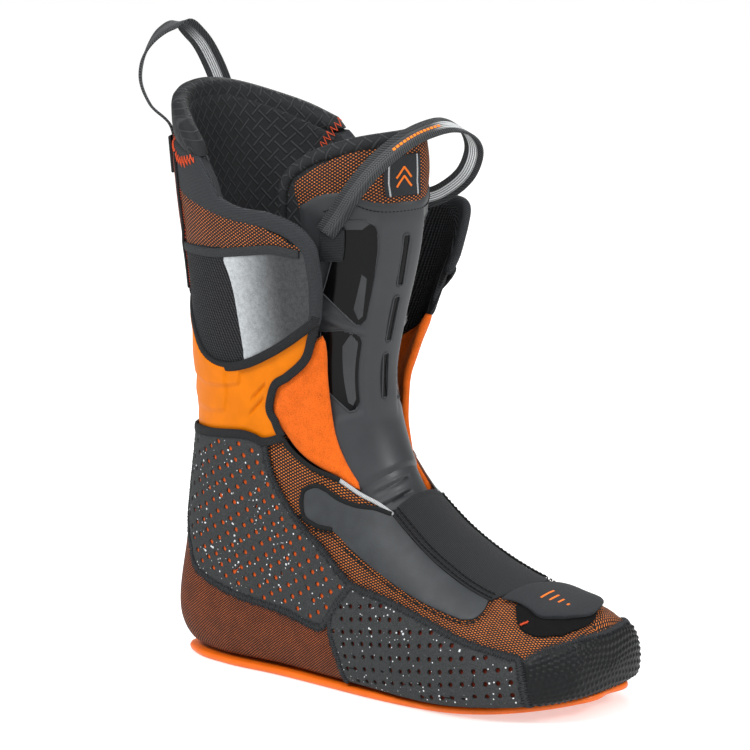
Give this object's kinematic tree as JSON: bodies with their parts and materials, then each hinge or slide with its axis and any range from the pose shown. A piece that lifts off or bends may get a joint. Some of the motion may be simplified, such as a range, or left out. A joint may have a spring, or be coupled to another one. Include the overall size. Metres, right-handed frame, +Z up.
{
  "type": "ski boot liner",
  "caption": "Soft inner boot of an alpine ski boot, right foot, with a hinged cuff, side flaps, a folding shelled tongue and two pull loops.",
  "frame": {"origin": "on the floor under the ankle flex axis, in the middle of the foot", "axes": "+X to the toe, +Y to the inner (medial) side of this right foot, +Z up the leg"},
  "size_m": [0.2956, 0.1133, 0.3508],
  "materials": {
    "sole_board": "smooth orange board edge",
    "footbed_cloth": "brushed grey cloth on foam",
    "net": "black net over orange cloth",
    "red_net": "black net over dark red cloth",
    "foam": "closed-cell foam with cloth faces",
    "perforated_foam": "punched charcoal foam with pale flecks, orange cloth behind",
    "toe_rubber": "black, embossed with small hexagons",
    "synthetic_leather": "fine grey grain with stitched edges",
    "elastic": "fine ribbed elastic",
    "velour": "short orange pile",
    "piping": "pale woven edge",
    "moulded_shell": "smooth moulded orange, satin",
    "binding": "black knit tape",
    "grey_binding": "rolled grey knit tape",
    "lining": "charcoal cloth embossed with a basket of short strokes",
    "ribbed_cloth": "black ribbed textile",
    "silver_print": "woven cloth printed silver",
    "tongue_rubber": "satin charcoal moulding",
    "window": "glossy black",
    "label_cloth": "grey woven label",
    "webbing": "black webbing with pale centre lines"
  },
  "bodies": {
    "foot": {"sole_plate": "sole_board", "footbed": "footbed_cloth", "net_sleeve": "net", "foot_foam": "foam", "heel_wrap": "net", "ankle_band": "binding", "toe_cap": "toe_rubber", "toe_patch": "binding", "instep_gusset": "elastic", "tongue_base": "foam", "lateral_heel_panel": "perforated_foam", "medial_heel_panel": "perforated_foam", "lateral_forefoot_panel": "perforated_foam", "medial_forefoot_panel": "perforated_foam", "lateral_instep_overlay": "synthetic_leather", "medial_instep_overlay": "synthetic_leather", "lateral_velour_pad": "velour", "medial_velour_pad": "velour", "lateral_throat_piping": "piping", "medial_throat_piping": "piping"},
    "toe_tab": {"toe_tab": "label_cloth"},
    "cuff": {"ankle_shell": "moulded_shell", "cuff_foam": "foam", "collar_lining": "lining", "rear_net_panel": "red_net", "rear_loop_anchor": "binding", "lateral_ankle_binding": "binding", "medial_ankle_binding": "binding", "lateral_ribbed_panel": "ribbed_cloth", "medial_ribbed_panel": "ribbed_cloth"},
    "rear_loop": {"rear_pull_loop": "webbing"},
    "lateral_flap": {"lateral_flap_pad": "lining", "lateral_flap_panel": "silver_print", "lateral_flap_net": "net", "lateral_flap_binding": "grey_binding"},
    "medial_flap": {"medial_flap_pad": "lining", "medial_flap_panel": "silver_print", "medial_flap_net": "net", "medial_flap_binding": "grey_binding"},
    "tongue_throat": {"tongue_throat": "tongue_rubber"},
    "tongue": {"tongue_pad": "lining", "tongue_shell": "tongue_rubber", "tongue_net": "net", "tongue_label": "label_cloth", "tongue_rim": "lining", "tongue_strap_anchor": "binding", "lateral_upper_window": "window", "medial_upper_window": "window", "lateral_lower_window": "window", "medial_lower_window": "window"},
    "tongue_loop": {"tongue_pull_loop": "webbing"}
  },
  "joints": [
    {"name": "cuff_flex", "type": "hinge", "parent": "foot", "child": "cuff", "pos_m": [0.005, 0, 0.1], "axis": [0, 1, 0], "range_deg": [0, 12]},
    {"name": "tongue_flex", "type": "hinge", "parent": "foot", "child": "tongue_throat", "pos_m": [0.0762, 0, 0.0963], "axis": [0, 1, 0], "range_deg": [0, 12]},
    {"name": "tongue_fold", "type": "hinge", "parent": "tongue_throat", "child": "tongue", "pos_m": [0.0633, 0, 0.1235], "axis": [0, 1, 0], "range_deg": [0, 40]},
    {"name": "lateral_flap_open", "type": "hinge", "parent": "cuff", "child": "lateral_flap", "pos_m": [-0.0184, -0.0434, 0.1675], "axis": [-0.0006, 0.0984, -0.9951], "range_deg": [0, 30]},
    {"name": "medial_flap_open", "type": "hinge", "parent": "cuff", "child": "medial_flap", "pos_m": [-0.0184, 0.0434, 0.1675], "axis": [0.0006, 0.0984, 0.9951], "range_deg": [0, 30]},
    {"name": "tongue_loop_swing", "type": "hinge", "parent": "tongue", "child": "tongue_loop", "pos_m": [0.049, 0, 0.253], "axis": [0, 1, 0], "range_deg": [0, 60]},
    {"name": "rear_loop_swing", "type": "hinge", "parent": "cuff", "child": "rear_loop", "pos_m": [-0.0735, 0, 0.284], "axis": [0, -1, 0], "range_deg": [0, 75]},
    {"name": "toe_tab_lift", "type": "hinge", "parent": "foot", "child": "toe_tab", "pos_m": [0.1503, 0.0019, 0.0596], "axis": [-0.2253, -0.9728, 0.0543], "range_deg": [0, 60]}
  ],
  "couplings": [
    {"joint": "tongue_flex", "follows": "cuff_flex", "ratio": 1}
  ]
}
